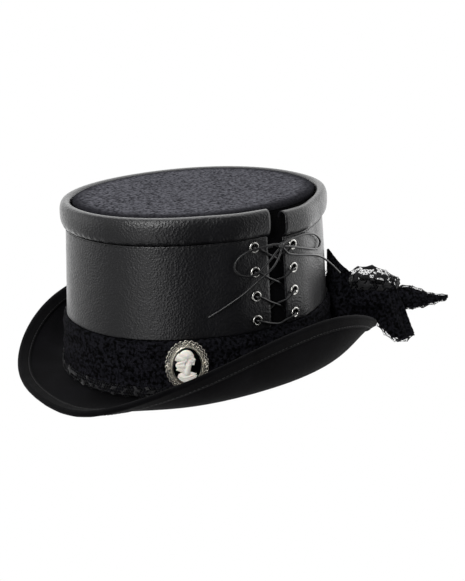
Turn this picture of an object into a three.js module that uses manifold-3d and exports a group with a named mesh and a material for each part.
// A short top hat with a laced leather wrap, a lace scarf as its band, and a cameo brooch.
// Units are millimetres. +Z is up, -Y is the front of the hat and +X is the wearer's left.
// The origin is on the crown's centre line, at the level of the lowest points of the brim.
import * as THREE from 'three';
import { mergeVertices } from 'three/addons/utils/BufferGeometryUtils.js';
import Module from 'manifold-3d';

const wasm = await Module();
wasm.setup();

// ---- overall sizes -------------------------------------------------------------------
const CROWN_HALF_WIDTH = 87.5;       // half width of the wrap at the seam under the roll
const CROWN_HALF_LENGTH = 105;       // half length of the wrap at that seam
const OVAL_POWER = 2.12;             // 2 is an ellipse, more is squarer
const OVAL_EGG = 0.03;               // how much wider the back half is than the front
const CROWN_TAPER = 0.0587;          // outward lean of the wall for each mm going down
const TIP_Z = 143;                   // top face of the felt tip
const ROLL_HEIGHT = 20.4;
const SEAM_Z = TIP_Z - ROLL_HEIGHT;  // seam between the wrap and the roll
const ROLL_OUT = 3.9;                // how far the roll bulges past the seam
const ROLL_IN = 5.8;                 // and how far it reaches in over the tip
const ROLL_SKIN = 1.2;
const TIP_EDGE_HEIGHT = 4.7;
const WRAP_BOTTOM_Z = 52.8;
const WRAP_THICK = 1.5;
const FELT_THICK = 2.5;
const GAP = 0.3;                     // clearance between neighbouring pieces
const RING_STEPS = 2 * Math.round(CROWN_HALF_LENGTH / 5);  // a facet for every 15 mm or so

// ---- brim ----------------------------------------------------------------------------
const BRIM_Z = 6.4;                  // mid surface of the brim where the crown stands on it
const BRIM_THICK = 2.4;
const BRIM_WIDTH = 40.35;            // mean width beyond the seam oval
const BRIM_SIDE_TRIM = 4.2;          // narrower at the sides, wider at the front and back
const BRIM_CORNER_FILL = 4.9;        // wider on the diagonals
const BRIM_BACK_TRIM = 2.5;          // narrower at the back than at the front
const RIM_LOW_Z = 10.3;
const RIM_SIDE_RISE = 44.4;          // how far the sides curl up
const RIM_BACK_LIFT = 7.42;
const RIM_BACK_DIP = 14.8;           // the dip at the centre of the back
const RIM_DIP_SPREAD = 26;           // degrees
const RIM_FLATNESS = 0.75;           // share of the smooth step in the rise of the sides
const RIM_SAG = 5.6;                 // the left front of the rim hangs lower
const RIM_SAG_AT = -26;              // degrees
const RIM_SWELL = 2.9;               // and the left side stands higher behind it
const RIM_SWELL_AT = 18;             // degrees
const RIM_BEND_SPREAD = 15;          // degrees
const BINDING_THICK = 0.9;
const BINDING_DEPTH = 10;

// ---- lacing --------------------------------------------------------------------------
const LEFT_EDGE_Y = 3.2;             // free edge of the front flap
const RIGHT_EDGE_Y = 17.6;           // free edge of the rear flap
const LEFT_EYELET_Y = -8.7;
const RIGHT_EYELET_Y = 26.8;
const FRONT_TOP_EYELET_Z = SEAM_Z - 6.5;
const REAR_TOP_EYELET_Z = SEAM_Z - 8;
const EYELET_PITCH = 18.4;
const EYELET_PAIRS = 4;
const EYELET_BORE = 2.5;
const LACE_RADIUS = 0.85;
const FLAP_LIFT = 2 * LACE_RADIUS + 1.1;  // room for the lace under the flaps
const LIFT_FLAT = 13.5;              // degrees either side of the gap that are fully lifted
const LIFT_FADE = 17;                // degrees over which the lift fades out
const REAR_FLAP_DROP = 3;            // the rear flap hangs lower at its top
const DROP_FADE = 45;                // degrees over which that drop fades out

// ---- band and scarf ------------------------------------------------------------------
const BAND_THICK = 4.5;
const BAND_TOP_Z = WRAP_BOTTOM_Z - 2 * GAP;
const BAND_BOTTOM_Z = BRIM_Z + BRIM_THICK / 2 + 0.9;
const BAND_EDGE_THICK = 0.6;
const BAND_EDGE_HEIGHT = 8;
const KNOT_ANGLE = 62;
const KNOT_SIZE = [8, 9, 12];        // half sizes: out from the band, along it, and up
const KNOT_Z = (BAND_TOP_Z + BAND_BOTTOM_Z) / 2 + 3.6;

// ---- brooch --------------------------------------------------------------------------
const BROOCH_Y = -63.5;
const BROOCH_HALF_WIDTH = 15.8;
const BROOCH_HALF_HEIGHT = 19.4;
const BROOCH_Z = BAND_TOP_Z + 3.6 - BROOCH_HALF_HEIGHT;
const CAMEO_HALF_WIDTH = 10.2;
const CAMEO_HALF_HEIGHT = 13.4;
const BUST_DRAWN_FOR = 13.4;         // the half height that the bust's outline is drawn for
const PIN_STANDOFF = 2.1;            // pin axis from the band
const PLATE_STANDOFF = 4.2;          // back of the plate from the band
const PLATE_THICK = 1;
const PLATE_MARGIN = 1.4;            // how far the plate shows round the cameo
const STRAP_WIDTH = 5;
const PIN_END = 2.4;                 // strap beyond the hinge and the catch
const PIN_HALF_SPAN = 11;
const PIN_RADIUS = 0.45;

// ---- lining --------------------------------------------------------------------------
const LINING_THICK = 0.6;
const LINING_BOTTOM_Z = 38;
const SWEATBAND_THICK = 2.2;
const SWEATBAND_TOP_Z = 44;

const DEG = Math.PI / 180;
const LATHE_BASE = 90;               // radius at which a ring is turned before it is shaped

// ---- the oval ------------------------------------------------------------------------

function smooth(x) {
  const k = Math.min(1, Math.max(0, x));
  return k * k * (3 - 2 * k);
}

function rounded(value) {
  return Math.sign(value) * Math.abs(value) ** (2 / OVAL_POWER);
}

// A point at angle t round the hat (0 is the wearer's left, 90 the back, in radians), d
// outside the seam oval. Deep inside, the oval shrinks evenly to its centre.
function ovalPoint(t, d, z) {
  const inner = -14;
  const k = d < inner ? (LATHE_BASE + d) / (LATHE_BASE + inner) : 1;
  const out = Math.max(d, inner);
  const y = (CROWN_HALF_LENGTH + out) * k * rounded(Math.sin(t));
  const x = (CROWN_HALF_WIDTH + out) * k * rounded(Math.cos(t));
  return new THREE.Vector3(x * (1 + OVAL_EGG * y / CROWN_HALF_LENGTH), y, z);
}

function angleAtY(y, d) {
  const share = Math.abs(y) / (CROWN_HALF_LENGTH + d);
  return Math.sign(y) * Math.asin(share ** (OVAL_POWER / 2));
}

function feltOut(z) {
  return CROWN_TAPER * (SEAM_Z - z) - WRAP_THICK - GAP;
}

function wrapOut(z) {
  return feltOut(z) + GAP + WRAP_THICK;
}

function bandOut(z) {
  return feltOut(z) + GAP + BAND_THICK;
}

const GAP_ANGLE = angleAtY((LEFT_EDGE_Y + RIGHT_EDGE_Y) / 2, 0);

function fromGap(t) {
  const turn = (t - GAP_ANGLE) / DEG;
  return ((turn + 180) % 360 + 360) % 360 - 180;
}

function flapLift(t) {
  return FLAP_LIFT * (1 - smooth((Math.abs(fromGap(t)) - LIFT_FLAT) / LIFT_FADE));
}

function flapDrop(t, z) {
  const turn = fromGap(t);
  const share = (z - WRAP_BOTTOM_Z) / (SEAM_Z - WRAP_BOTTOM_Z);
  return turn < 0 ? 0 : REAR_FLAP_DROP * (1 - smooth((turn - LIFT_FLAT) / DROP_FADE)) * share;
}

// A point of the wrap or the roll, which lift and drop beside the lacing.
function flapPoint(t, d, z) {
  return ovalPoint(t, d + flapLift(t), z - flapDrop(t, z));
}

// Outward direction of the wall at angle t.
function wallNormal(t) {
  const along = ovalPoint(t + 0.01, 0, 0).sub(ovalPoint(t - 0.01, 0, 0));
  return new THREE.Vector3(along.y, -along.x, CROWN_TAPER * along.length()).normalize();
}

// ---- building solids -----------------------------------------------------------------

function shapeOf(points) {
  return new THREE.Shape(points.map(([x, y]) => new THREE.Vector2(x, y)));
}

// Merges shared corners and turns the faces outwards.
function closed(geometry) {
  geometry.deleteAttribute('normal');
  geometry.deleteAttribute('uv');
  const solid = mergeVertices(geometry, 1e-4);
  const at = solid.attributes.position;
  const index = Array.from(solid.index.array);
  const corner = (i) => new THREE.Vector3().fromBufferAttribute(at, index[i]);
  let volume = 0;
  for (let i = 0; i < index.length; i += 3) {
    volume += corner(i).dot(corner(i + 1).cross(corner(i + 2)));
  }
  if (volume < 0) index.reverse();
  solid.setIndex(index);
  return solid;
}

function bend(geometry, place) {
  const at = geometry.attributes.position;
  for (let i = 0; i < at.count; i++) {
    const p = place(at.getX(i), at.getY(i), at.getZ(i));
    at.setXYZ(i, p.x, p.y, p.z);
  }
  return closed(geometry);
}

// A closed ring or, where the profile meets the axis, a disc. The profile is [d, z] pairs.
function ring(profile, place = ovalPoint) {
  const points = profile.map(([d, z]) => new THREE.Vector2(LATHE_BASE + d, z));
  if (profile[0][0] > -LATHE_BASE) points.push(points[0].clone());
  const turned = new THREE.LatheGeometry(points, RING_STEPS);
  return bend(turned, (x, y, z) => place(Math.atan2(x, z), Math.hypot(x, z) - LATHE_BASE, y));
}

// A strip of the same section that starts and ends at the two edges of the lacing gap.
function openRing(profile) {
  const strip = new THREE.ExtrudeGeometry(shapeOf(profile),
    { depth: 1, steps: RING_STEPS, bevelEnabled: false });
  const start = angleAtY(RIGHT_EDGE_Y, 0);
  const end = angleAtY(LEFT_EDGE_Y, 0) + 2 * Math.PI;
  return bend(strip, (d, z, k) => flapPoint(start + (end - start) * k, d, z));
}

function tube(points, radius, sides, steps) {
  const outline = new THREE.Shape();
  outline.absarc(0, 0, radius, 0, 2 * Math.PI);
  const path = new THREE.CatmullRomCurve3(points.map((p) => new THREE.Vector3(...p)), false,
    'centripetal');
  return closed(new THREE.ExtrudeGeometry(outline,
    { steps, curveSegments: sides / 2, extrudePath: path, bevelEnabled: false }));
}

// A soft bar along a path. across is the direction of its width, and the half width and
// half thickness are given along the path by functions of 0 to 1.
function softBar(points, across, halfWidth, halfThick, steps = 8) {
  const path = new THREE.CatmullRomCurve3(points);
  const bar = new THREE.CylinderGeometry(1, 1, 1, 12, steps);
  return bend(bar, (x, y, z) => {
    const k = y + 0.5;
    const side = across.clone().normalize();
    const out = path.getTangentAt(k).cross(side).normalize();
    return path.getPointAt(k).addScaledVector(side, x * halfWidth(k))
      .addScaledVector(out, z * halfThick(k));
  });
}

function manifoldOf(geometry) {
  const vertProperties = new Float32Array(geometry.attributes.position.array);
  const triVerts = new Uint32Array(geometry.index.array);
  return new wasm.Manifold(new wasm.Mesh({ numProp: 3, vertProperties, triVerts }));
}

function geometryOf(manifold) {
  const { vertProperties, triVerts } = manifold.getMesh();
  const geometry = new THREE.BufferGeometry();
  const corners = new THREE.BufferAttribute(new Float32Array(vertProperties), 3);
  geometry.setAttribute('position', corners);
  geometry.setIndex(Array.from(triVerts));
  return geometry;
}

function cut(geometry, tools) {
  const left = tools.reduce((rest, tool) => rest.subtract(manifoldOf(tool)), manifoldOf(geometry));
  return geometryOf(left);
}

function join(...pieces) {
  return geometryOf(pieces.map(manifoldOf).reduce((all, one) => all.add(one)));
}

function finish(colour, roughness, metalness = 0) {
  return { colour, roughness, metalness };
}

const FELT = finish(0x17171a, 0.95);
const TIP_FELT = finish(0x26262a, 0.9);
const LEATHER = finish(0x121214, 0.38);
const SATIN = finish(0x1a1a20, 0.4);
const LACE_CORD = finish(0x0e0e10, 0.5);
const SCARF = finish(0x101013, 0.95);
const SILVER = finish(0xb8b6ae, 0.32, 1);
const STEEL = finish(0xc8c9cc, 0.25, 1);
const ONYX = finish(0x08080a, 0.15);
const IVORY = finish(0xf3efe6, 0.45);
const FOAM = finish(0x2c2c2c, 0.95);

function piece(name, geometry, look) {
  const { colour: color, roughness, metalness } = look;
  geometry.computeVertexNormals();
  const material = new THREE.MeshStandardMaterial({ color, roughness, metalness });
  const mesh = new THREE.Mesh(geometry, material);
  mesh.name = name;
  return mesh;
}

// ---- crown ---------------------------------------------------------------------------

// The outside of the felt wall, from foot to top: straight up to just below the seam, and
// then drawn in under the roll.
function wallPath(foot, top) {
  return [[feltOut(foot), foot], [feltOut(SEAM_Z - 7), SEAM_Z - 7], [-2.7, SEAM_Z],
    [-4.4, SEAM_Z + 0.26 * ROLL_HEIGHT], [-ROLL_IN - 0.4, SEAM_Z + 0.52 * ROLL_HEIGHT],
    [-ROLL_IN - 0.8, top]];
}

// A wall of the given thickness, inset from the outside of the felt.
function wall(path, inset, thick) {
  const outer = path.map(([d, z]) => [d - inset, z]);
  const inner = path.map(([d, z]) => [d - inset - thick, z]).reverse();
  return ring([...outer, ...inner]);
}

const WALL_TOP_Z = TIP_Z - TIP_EDGE_HEIGHT - GAP;

function crownSide() {
  const path = wallPath(BRIM_Z + BRIM_THICK / 2 + GAP, WALL_TOP_Z);
  return piece('crown_side', wall(path, 0, FELT_THICK), FELT);
}

function crownTip() {
  const under = TIP_Z - TIP_EDGE_HEIGHT;
  const edge = -ROLL_IN - 0.4;
  const inside = edge - FELT_THICK - 0.3;
  const disc = ring([[-LATHE_BASE, TIP_Z], [edge - 2.8, TIP_Z], [edge - 0.8, TIP_Z - 0.5],
    [edge, TIP_Z - 1.8], [edge, under], [inside, under], [inside, TIP_Z - FELT_THICK],
    [-LATHE_BASE, TIP_Z - FELT_THICK]]);
  return piece('crown_tip', disc, TIP_FELT);
}

function sideLining() {
  const path = wallPath(LINING_BOTTOM_Z, WALL_TOP_Z - 2);
  return piece('side_lining', wall(path, FELT_THICK + GAP, LINING_THICK), SATIN);
}

function tipLining() {
  const top = TIP_Z - FELT_THICK - 2 * GAP;
  const edge = -ROLL_IN - 0.8 - FELT_THICK - GAP;
  const under = WALL_TOP_Z - 2 + GAP;
  const disc = ring([[-LATHE_BASE, top], [edge - 0.8, top], [edge - 0.8, under],
    [edge - 0.8 - LINING_THICK, under], [edge - 0.8 - LINING_THICK, top - LINING_THICK],
    [-LATHE_BASE, top - LINING_THICK]]);
  return piece('tip_lining', disc, SATIN);
}

function sweatband() {
  const room = FELT_THICK + 2 * GAP + LINING_THICK;
  const heights = [BRIM_Z - BRIM_THICK / 2 + 0.4, 25, SWEATBAND_TOP_Z];
  return piece('sweatband', wall(heights.map((z) => [feltOut(z), z]), room, SWEATBAND_THICK), LEATHER);
}

// ---- brim ----------------------------------------------------------------------------

function rimOut(t) {
  return BRIM_WIDTH - BRIM_SIDE_TRIM * Math.cos(2 * t) - BRIM_CORNER_FILL * Math.cos(4 * t)
    - BRIM_BACK_TRIM * Math.sin(t);
}

// How far the rim stands above its even line at angle t.
function rimBend(t) {
  const bell = (at) => {
    const turn = ((t / DEG - at + 540) % 360) - 180;
    return Math.exp(-((turn / RIM_BEND_SPREAD) ** 2) / 2);
  };
  return RIM_SWELL * bell(RIM_SWELL_AT) - RIM_SAG * bell(RIM_SAG_AT);
}

function rimZ(t) {
  const side = Math.cos(t) ** 2;
  const rise = RIM_FLATNESS * smooth(side) + (1 - RIM_FLATNESS) * side;
  const fromBack = ((t / DEG - 90 + 540) % 360) - 180;
  const dip = RIM_BACK_DIP / (1 + (fromBack / RIM_DIP_SPREAD) ** 4);
  return RIM_LOW_Z + RIM_SIDE_RISE * rise + RIM_BACK_LIFT * Math.sin(t) - dip + rimBend(t);
}

// The brim's mid surface at angle t, as a curve from the head opening to the rim.
function brimCurve(t) {
  const side = smooth(Math.cos(t) ** 2);
  const start = feltOut(BRIM_Z) - FELT_THICK;
  const rim = new THREE.Vector2(rimOut(t), rimZ(t));
  const lean = (6 + 82 * side) * DEG;
  const reach = 14 + 12 * side;
  return new THREE.CubicBezierCurve(
    new THREE.Vector2(start, BRIM_Z),
    new THREE.Vector2(start + 18, BRIM_Z - 3.6),
    new THREE.Vector2(rim.x - reach * Math.cos(lean), rim.y - reach * Math.sin(lean)),
    rim);
}

// A point of the brim: s from the rim inwards along the surface, v above the mid surface.
function brimPoint(t, s, v) {
  const curve = brimCurve(t);
  const length = curve.getLength();
  const k = Math.min(1, Math.max(0, 1 - s / length));
  const at = curve.getPointAt(k);
  const way = curve.getTangentAt(k);
  const beyond = Math.min(0, s) + Math.max(0, s - length);
  return ovalPoint(t, at.x - way.y * v - way.x * beyond, at.y + way.x * v - way.y * beyond);
}

function brim() {
  const half = BRIM_THICK / 2;
  const inset = GAP + BINDING_THICK;
  const bound = 0.3;
  const stations = [0.15, bound, 0.42, 0.54, 0.66, 0.78, 0.9, 1];
  const profile = [[0, half - 0.4], ...stations.map((k) => [k, half]),
    ...stations.map((k) => [k, -half]).reverse(), [0, 0.4 - half]];
  const place = (t, k, v) => {
    const rest = brimCurve(t).getLength() - BINDING_DEPTH;
    const s = k <= bound ? Math.max(inset, BINDING_DEPTH * k / bound)
      : BINDING_DEPTH + rest * (k - bound) / (1 - bound);
    return brimPoint(t, s, v);
  };
  return piece('brim', ring(profile, place), FELT);
}

function brimBinding() {
  const inside = BRIM_THICK / 2 + GAP;
  const outside = inside + BINDING_THICK;
  const depth = BINDING_DEPTH;
  const profile = [[depth, outside], [depth / 2, outside], [1.2, outside], [0.2, outside - 0.6],
    [0, 0], [0.2, 0.6 - outside], [1.2, -outside], [depth / 2, -outside], [depth, -outside],
    [depth, -inside], [depth / 2, -inside], [BINDING_THICK, -inside], [BINDING_THICK, inside],
    [depth / 2, inside], [depth, inside]];
  return piece('brim_binding', ring(profile, brimPoint), FELT);
}

// ---- leather wrap and roll -----------------------------------------------------------

function eyeletPlaces() {
  const places = [];
  for (let i = 0; i < EYELET_PAIRS; i++) {
    const step = i * EYELET_PITCH;
    places.push({ name: `eyelet_front_${i + 1}`, y: LEFT_EYELET_Y, z: FRONT_TOP_EYELET_Z - step });
    places.push({ name: `eyelet_rear_${i + 1}`, y: RIGHT_EYELET_Y, z: REAR_TOP_EYELET_Z - step });
  }
  const up = new THREE.Vector3(0, 1, 0);
  return places.map(({ name, y, z }) => {
    const t = angleAtY(y, wrapOut(z));
    const turn = new THREE.Quaternion().setFromUnitVectors(up, wallNormal(t));
    return { name, at: flapPoint(t, wrapOut(z), z), turn };
  });
}

function leatherWrap() {
  const heights = [WRAP_BOTTOM_Z, 75, 100, SEAM_Z - GAP];
  const outer = heights.map((z) => [wrapOut(z), z]);
  const inner = heights.map((z) => [wrapOut(z) - WRAP_THICK, z]).reverse();
  const holes = eyeletPlaces().map(({ at, turn }) => {
    const punch = new THREE.CylinderGeometry(EYELET_BORE + 1, EYELET_BORE + 1, 8, 16);
    return closed(punch.applyQuaternion(turn).translate(at.x, at.y, at.z));
  });
  return piece('leather_wrap', cut(openRing([...outer, ...inner]), holes), LEATHER);
}

// The roll's section between two angles, in degrees: 0 is outwards and 90 is up.
function rollPath(from, to, inset) {
  const middle = (ROLL_OUT - ROLL_IN) / 2;
  const power = 2 / 2.5;
  const path = [];
  for (let i = 0; i <= 12; i++) {
    const a = (from + (to - from) * i / 12) * DEG;
    const [c, s] = [Math.cos(a), Math.sin(a)];
    const [across, high] = [Math.sign(c) * Math.abs(c) ** power, Math.sign(s) * Math.abs(s) ** power];
    path.push([middle + ((ROLL_OUT + ROLL_IN) / 2 - inset) * across,
      SEAM_Z + ROLL_HEIGHT / 2 + (ROLL_HEIGHT / 2 - 0.2 - inset) * high]);
  }
  return path;
}

function topRoll() {
  const section = [...rollPath(-80, 158, 0), ...rollPath(-80, 158, ROLL_SKIN).reverse()];
  return piece('top_roll', openRing(section), LEATHER);
}

function rollFiller() {
  return piece('roll_filler', openRing(rollPath(-72, 140, ROLL_SKIN + GAP)), FOAM);
}

function eyelets() {
  const bore = EYELET_BORE;
  const under = WRAP_THICK + 0.45;
  const section = [[bore, -under], [bore + 1.1, -under], [bore + 1.1, 0.15 - under],
    [bore + 0.45, 0.15 - under], [bore + 0.45, 0.4], [bore + 1.6, 0.4], [bore + 1.5, 0.6],
    [bore + 0.9, 1], [bore + 0.2, 0.8], [bore, 0.4], [bore, -under]];
  return eyeletPlaces().map(({ name, at, turn }) => {
    const turned = new THREE.LatheGeometry(section.map(([r, h]) => new THREE.Vector2(r, h)), 12);
    const mesh = piece(name, closed(turned), STEEL);
    mesh.position.copy(at);
    mesh.quaternion.copy(turn);
    return mesh;
  });
}

// ---- lacing --------------------------------------------------------------------------

// A lace point at height h over the felt wall.
function lacePoint(y, z, h) {
  return ovalPoint(angleAtY(y, wrapOut(z)), feltOut(z) + h, z).toArray();
}

// The lace goes from the knot under one flap and out through the first eyelet, over the flap
// edge, down across the gap and under the other flap to the next eyelet, and so on. A bar
// joins the two lowest eyelets, and the other half climbs back to the knot.
function laceHalf(side) {
  const under = GAP + LACE_RADIUS + 0.1;
  const over = GAP + FLAP_LIFT + WRAP_THICK + 1 + GAP + LACE_RADIUS;
  const column = (s) => (s < 0 ? LEFT_EYELET_Y : RIGHT_EYELET_Y);
  const edge = (s) => (s < 0 ? LEFT_EDGE_Y : RIGHT_EDGE_Y);
  const height = (s, i) => {
    const z = (s < 0 ? FRONT_TOP_EYELET_Z : REAR_TOP_EYELET_Z) - i * EYELET_PITCH;
    return s < 0 ? z : z - flapDrop(angleAtY(RIGHT_EYELET_Y, 0), z);
  };
  const knotZ = height(1, 0) + 2;
  const middle = (LEFT_EDGE_Y + RIGHT_EDGE_Y) / 2;
  const points = [];
  let s = side;
  points.push([middle + s * 1.4, knotZ - 0.5, under + 1.2]);
  points.push([edge(s) - s * 1.6, knotZ - 1, under + 0.2]);
  for (let i = 0; i < EYELET_PAIRS; i++) {
    const z = height(s, i);
    points.push([column(s) - s * 4.6, z, under]);
    points.push([column(s) - s * 1.6, z, under + 0.4]);
    points.push([column(s) + s * 0.1, z, (under + over) / 2]);
    points.push([column(s) - s * 0.9, z - 0.4, over - 1]);
    points.push([column(s) - s * 4, z - 1.4, over]);
    if (i === EYELET_PAIRS - 1) break;
    const next = height(-s, i + 1);
    points.push([edge(s) + s * 0.6, z + (next - z) * 0.3, over - 1.2]);
    points.push([middle, z + (next - z) * 0.5, s < 0 ? 3.9 : 1.6]);
    points.push([edge(-s), z + (next - z) * 0.72, under + 0.1]);
    s = -s;
  }
  return points.map(([y, z, h]) => lacePoint(y, z, h));
}

function lacing() {
  const first = laceHalf(-1);
  const second = laceHalf(1).reverse();
  const over = FLAP_LIFT + WRAP_THICK + 2 * GAP + LACE_RADIUS;
  const low = REAR_TOP_EYELET_Z - (EYELET_PAIRS - 1) * EYELET_PITCH - 3;
  const bar = [[RIGHT_EDGE_Y, low, over], [(LEFT_EDGE_Y + RIGHT_EDGE_Y) / 2, low - 1.6, over - 0.4],
    [LEFT_EDGE_Y, low, over]].map(([y, z, h]) => lacePoint(y, z, h));
  return piece('lacing', tube([...first, ...bar, ...second], LACE_RADIUS, 6, 130), LACE_CORD);
}

// ---- band ----------------------------------------------------------------------------

function hatBand() {
  const [foot, top] = [BAND_BOTTOM_Z, BAND_TOP_Z];
  const outer = [[bandOut(foot) - 0.6, foot], [bandOut(foot), foot + 3], [bandOut(30), 30],
    [bandOut(top), top - 4], [bandOut(top) - 1.4, top - 0.6], [bandOut(top) - 3, top]];
  const inner = [[feltOut(top) + GAP, top], [feltOut(30) + GAP, 30], [feltOut(foot) + GAP, foot]];
  return piece('hat_band', ring([...outer, ...inner]), SCARF);
}

function bandLaceEdge() {
  const heights = [BAND_BOTTOM_Z + 0.4, BAND_BOTTOM_Z + BAND_EDGE_HEIGHT];
  const outer = heights.map((z) => [bandOut(z) + GAP + BAND_EDGE_THICK, z]);
  const inner = heights.map((z) => [bandOut(z) + GAP, z]).reverse();
  return piece('band_lace_edge', ring([...outer, ...inner]), SCARF);
}

// ---- scarf bow -----------------------------------------------------------------------

// The directions at the knot: out from the band, along it towards the back, and up.
function knotAxes() {
  const out = wallNormal(KNOT_ANGLE * DEG).setZ(0).normalize();
  return { out, along: new THREE.Vector3(-out.y, out.x, 0), up: new THREE.Vector3(0, 0, 1) };
}

const KNOT = ovalPoint(KNOT_ANGLE * DEG,
  bandOut(KNOT_Z) + 2 * GAP + BAND_EDGE_THICK + KNOT_SIZE[0], KNOT_Z);

// A point of the bow: o out from the knot's centre, a along the band and h above the centre.
function bowPoint(o, a, h) {
  const { out, along, up } = knotAxes();
  return KNOT.clone().addScaledVector(out, o).addScaledVector(along, a).addScaledVector(up, h);
}

function scarfKnot() {
  const { out, along, up } = knotAxes();
  const ball = new THREE.SphereGeometry(1, 12, 8);
  const knot = bend(ball, (x, y, z) => KNOT.clone().addScaledVector(out, x * KNOT_SIZE[0])
    .addScaledVector(along, y * KNOT_SIZE[1]).addScaledVector(up, z * KNOT_SIZE[2]));
  return piece('scarf_knot', knot, SCARF);
}

function leaf(k, middle, root, tip) {
  return (root + (tip - root) * k) + (middle - (root + tip) / 2) * Math.sin(Math.PI * k);
}

function scarfBow() {
  const { out, along, up } = knotAxes();
  const clear = KNOT_SIZE[0] + 1;
  const bars = [
    ['scarf_loop_outer', [bowPoint(clear, 0, 8), bowPoint(28, -1, 13), bowPoint(46, -1, 11)], up,
      (k) => leaf(k, 21, 12, 14), (k) => leaf(k, 9, 4, 4)],
    ['scarf_tail_leaf', [bowPoint(48.5, -3, 9), bowPoint(69, -2, 9), bowPoint(92, 0, 6)], up,
      (k) => leaf(k, 11, 7, 0.8), () => 1.4],
    ['scarf_tail_hanging', [bowPoint(37, -15, 17), bowPoint(42, -17, 0), bowPoint(51, -15, -25)], out,
      (k) => leaf(k, 12, 5, 8), () => 2],
    ['scarf_loop_rear', [bowPoint(1, 11, 2), bowPoint(-2, 30, 3), bowPoint(-15, 54, 0)], up,
      (k) => leaf(k, 17, 8, 9), (k) => leaf(k, 5, 2.5, 2)],
    ['scarf_corner_upright', [bowPoint(-1.5, -4, 15), bowPoint(-6, -6, 34), bowPoint(-11, -8, 55)], along,
      (k) => 9 * (1 - k) + 1, () => 1.2],
  ];
  return bars.map(([name, path, across, width, thick]) =>
    piece(name, softBar(path, across, width, thick), SCARF));
}

// ---- bow of the lace -----------------------------------------------------------------

const LACE_KNOT = lacePoint(11, SEAM_Z - 7.4, 9.54);
const LACE_ENDS = {
  bow_loop_front: [[95.7, 8.6, 116.8], [95.7, 4, 117], [95.4, -2, 116.8], [93.9, -10.4, 115.8],
    [91.3, -18.9, 113], [89.7, -24.6, 108], [89.6, -26, 103], [91.3, -23.2, 98.6], [94.1, -15.7, 96.4],
    [95.7, -8, 99.2], [96.3, 0, 105.2], [96.5, 5, 110], [96.5, 8.4, 113.6]],
  bow_loop_rear: [[95.2, 15, 116.8], [94.5, 19, 117.6], [92.6, 26, 118], [89.7, 36, 118],
    [86.1, 46, 116.8], [80.8, 56, 113.4], [76.1, 64, 108.4], [74, 67.6, 104], [75.8, 65, 100.8],
    [80.2, 58, 101], [86.9, 46, 104.8], [91.7, 33, 109], [94.7, 22, 112.6], [95.7, 15.4, 114.6]],
  lace_tail_front: [[96.5, 10.6, 112], [97.2, 8.6, 107.4], [97.4, 4, 101.6], [96.6, -3, 96],
    [94.9, -12, 89.8], [93, -20.5, 83.7], [90.3, -29, 78.4], [87, -38, 73], [83.9, -46, 68.6]],
  lace_tail_rear: [[96.4, 14, 112.2], [96.3, 18, 108.4], [94.4, 26, 105.6], [91.3, 36, 103],
    [86.1, 48, 99.6], [79.2, 60, 95.4], [74.2, 71, 90], [71.2, 82, 82], [69.4, 92.6, 72.4]],
};

function laceKnot() {
  const knot = new THREE.SphereGeometry(1, 10, 8).scale(2.2, 2.7, 2.6).translate(...LACE_KNOT);
  return piece('lace_knot', closed(knot), LACE_CORD);
}

function laceEnds() {
  return Object.entries(LACE_ENDS).map(([name, points]) =>
    piece(name, tube(points, LACE_RADIUS, 8, 20), LACE_CORD));
}

// ---- brooch --------------------------------------------------------------------------

// The brooch is drawn facing +Z with +Y up, and then set on the band.
function broochFrame() {
  const t = angleAtY(BROOCH_Y, bandOut(BROOCH_Z));
  const out = wallNormal(t);
  const across = new THREE.Vector3(0, 0, 1).cross(out).normalize();
  const up = out.clone().cross(across);
  const at = ovalPoint(t, bandOut(BROOCH_Z), BROOCH_Z);
  return new THREE.Matrix4().makeBasis(across, up, out).setPosition(at);
}

// An oval outline with shallow scallops and four small lobes.
function scallopedOval(halfWidth, halfHeight, scallop, lobe) {
  const points = [];
  for (let i = 0; i < 96; i++) {
    const a = i / 96 * 2 * Math.PI;
    const ripple = scallop * Math.abs(Math.cos(12 * a)) + lobe * Math.abs(Math.cos(2 * a)) ** 24;
    points.push([(halfWidth - scallop - lobe + ripple) * Math.cos(a),
      (halfHeight - scallop - lobe + ripple) * Math.sin(a)]);
  }
  return points;
}

function slab(shape, low, high, curveSegments = 16) {
  const solid = new THREE.ExtrudeGeometry(shape,
    { depth: high - low, bevelEnabled: false, curveSegments });
  return closed(solid.translate(0, 0, low));
}

const SETTING = PLATE_STANDOFF + PLATE_THICK + GAP;

// The plate is a little wider than the cameo, with a strap that carries the pin.
function backPlate() {
  const shape = new THREE.Shape();
  const [halfWidth, halfHeight] = [CAMEO_HALF_WIDTH + PLATE_MARGIN, CAMEO_HALF_HEIGHT + PLATE_MARGIN];
  shape.absellipse(0, 0, halfWidth, halfHeight, 0, 2 * Math.PI);
  const plate = slab(shape, PLATE_STANDOFF, PLATE_STANDOFF + PLATE_THICK);
  const strap = block(2 * (PIN_HALF_SPAN + PIN_END), STRAP_WIDTH, PLATE_THICK,
    0, 0, PLATE_STANDOFF + PLATE_THICK / 2);
  return piece('brooch_back_plate', join(plate, strap), SILVER);
}

function filigreeFrame() {
  const shape = shapeOf(scallopedOval(BROOCH_HALF_WIDTH, BROOCH_HALF_HEIGHT, 0.9, 0.8));
  const window = new THREE.Path();
  window.absellipse(0, 0, CAMEO_HALF_WIDTH + GAP, CAMEO_HALF_HEIGHT + GAP, 0, 2 * Math.PI);
  shape.holes.push(window);
  return piece('brooch_frame', slab(shape, SETTING, SETTING + 2, 18), SILVER);
}

function cameoGround() {
  const [rim, crown] = [SETTING + 0.9, SETTING + 1.6];
  const turned = new THREE.LatheGeometry([[0, SETTING], [1, SETTING], [1, rim], [0.75, crown - 0.2],
    [0, crown]].map(([r, h]) => new THREE.Vector2(r, h)), 32);
  const dome = bend(turned, (x, y, z) =>
    new THREE.Vector3(x * CAMEO_HALF_WIDTH, z * CAMEO_HALF_HEIGHT, y));
  return piece('cameo_ground', dome, ONYX);
}

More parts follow.
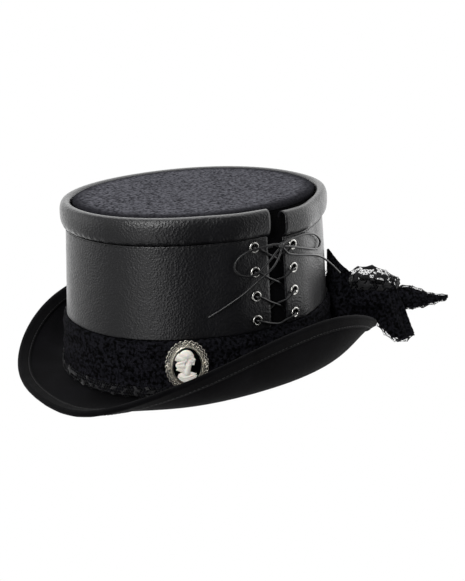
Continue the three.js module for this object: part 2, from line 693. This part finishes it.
// A plain bust: shoulders, neck, head and a bun of hair.
function cameoBust() {
  const shape = new THREE.Shape();
  shape.moveTo(-6, -8);
  shape.quadraticCurveTo(0, -11.6, 6, -8.4);
  shape.quadraticCurveTo(5, -5, 1.8, -4.2);
  shape.lineTo(1.6, -1.6);
  shape.absarc(0.6, 3.2, 4.6, -1.2, 2.2);
  shape.absarc(-3.4, 4.4, 3, 1.4, 4.3);
  shape.lineTo(-1.8, -3.6);
  shape.quadraticCurveTo(-5.4, -4.6, -6, -8);
  const low = SETTING + 1.6 + GAP;
  const share = CAMEO_HALF_HEIGHT / BUST_DRAWN_FOR;
  return piece('cameo_bust', slab(shape, low, low + 1.3, 6).scale(share, share, 1), IVORY);
}

function bar(radius, from, to, axis, sides = 12) {
  const rod = new THREE.CylinderGeometry(radius, radius, to - from, sides);
  rod.translate(0, (from + to) / 2, 0);
  if (axis === 'x') rod.rotateZ(-Math.PI / 2);
  return closed(rod);
}

function block(x, y, z, cx, cy, cz) {
  return closed(new THREE.BoxGeometry(x, y, z).translate(cx, cy, cz));
}

function pinHinge() {
  const top = PLATE_STANDOFF - GAP;
  const height = top - PIN_STANDOFF + 1;
  const ears = [-1, 1].map((s) => block(2.4, 0.6, height, 0, s * 1.4, top - height / 2));
  const bridge = block(2.4, 3.4, 0.5, 0, 0, top - 0.25);
  const hole = bar(0.5, -3, 3, 'y').translate(0, 0, PIN_STANDOFF);
  const bracket = cut(join(bridge, ...ears), [hole]).translate(-PIN_HALF_SPAN, 0, 0);
  const rivet = bar(0.4, -1.9, 1.9, 'y').translate(-PIN_HALF_SPAN, 0, PIN_STANDOFF);
  return [piece('pin_hinge_bracket', bracket, STEEL), piece('pin_hinge_rivet', rivet, STEEL)];
}

function pinStem() {
  const rod = new THREE.CylinderGeometry(PIN_RADIUS * 0.3, PIN_RADIUS, 2 * PIN_HALF_SPAN + 1.6, 10);
  rod.translate(0, PIN_HALF_SPAN + 1.6, 0).rotateZ(-Math.PI / 2);
  const eye = cut(join(bar(0.95, -0.8, 0.8, 'y'), closed(rod)), [bar(0.48, -2, 2, 'y')]);
  return piece('pin_stem', eye.translate(-PIN_HALF_SPAN, 0, PIN_STANDOFF), STEEL);
}

// A short tube along the pin with a slot that faces the band.
function slottedTube(inner, outer, slot, from, to) {
  const ringShape = new THREE.Shape();
  ringShape.absarc(0, 0, outer, 0, 2 * Math.PI);
  const bore = new THREE.Path();
  bore.absarc(0, 0, inner, 0, 2 * Math.PI);
  ringShape.holes.push(bore);
  const whole = slab(ringShape, from, to, 14).rotateY(Math.PI / 2);
  return cut(whole, [block(to - from + 1, slot, outer + 1, (from + to) / 2, 0, -(outer + 1) / 2)]);
}

function pinCatch() {
  const base = slottedTube(0.75, 1.1, 1.15, PIN_HALF_SPAN - 2.2, PIN_HALF_SPAN + 2.2);
  const foot = block(1.5, 1.6, PLATE_STANDOFF - GAP - PIN_STANDOFF - 0.9, PIN_HALF_SPAN + 1.45, 0,
    (PLATE_STANDOFF - GAP - PIN_STANDOFF + 0.9) / 2);
  const sleeve = slottedTube(1.3, 1.7, 1.25, PIN_HALF_SPAN - 1.9, PIN_HALF_SPAN + 0.4);
  return [piece('pin_catch_base', join(base, foot).translate(0, 0, PIN_STANDOFF), STEEL),
    piece('pin_catch_sleeve', sleeve.translate(0, 0, PIN_STANDOFF), STEEL)];
}

function brooch() {
  const set = new THREE.Group();
  set.add(backPlate(), filigreeFrame(), cameoGround(), cameoBust());
  set.add(...pinHinge(), pinStem(), ...pinCatch());
  set.applyMatrix4(broochFrame());
  return set;
}

// ---- the hat -------------------------------------------------------------------------

const group = new THREE.Group();
group.add(crownSide(), crownTip(), sideLining(), tipLining(), sweatband());
group.add(brim(), brimBinding());
group.add(leatherWrap(), topRoll(), rollFiller(), ...eyelets(), lacing(), laceKnot(), ...laceEnds());
group.add(hatBand(), bandLaceEdge(), scarfKnot(), ...scarfBow());
group.add(brooch());

export default group;
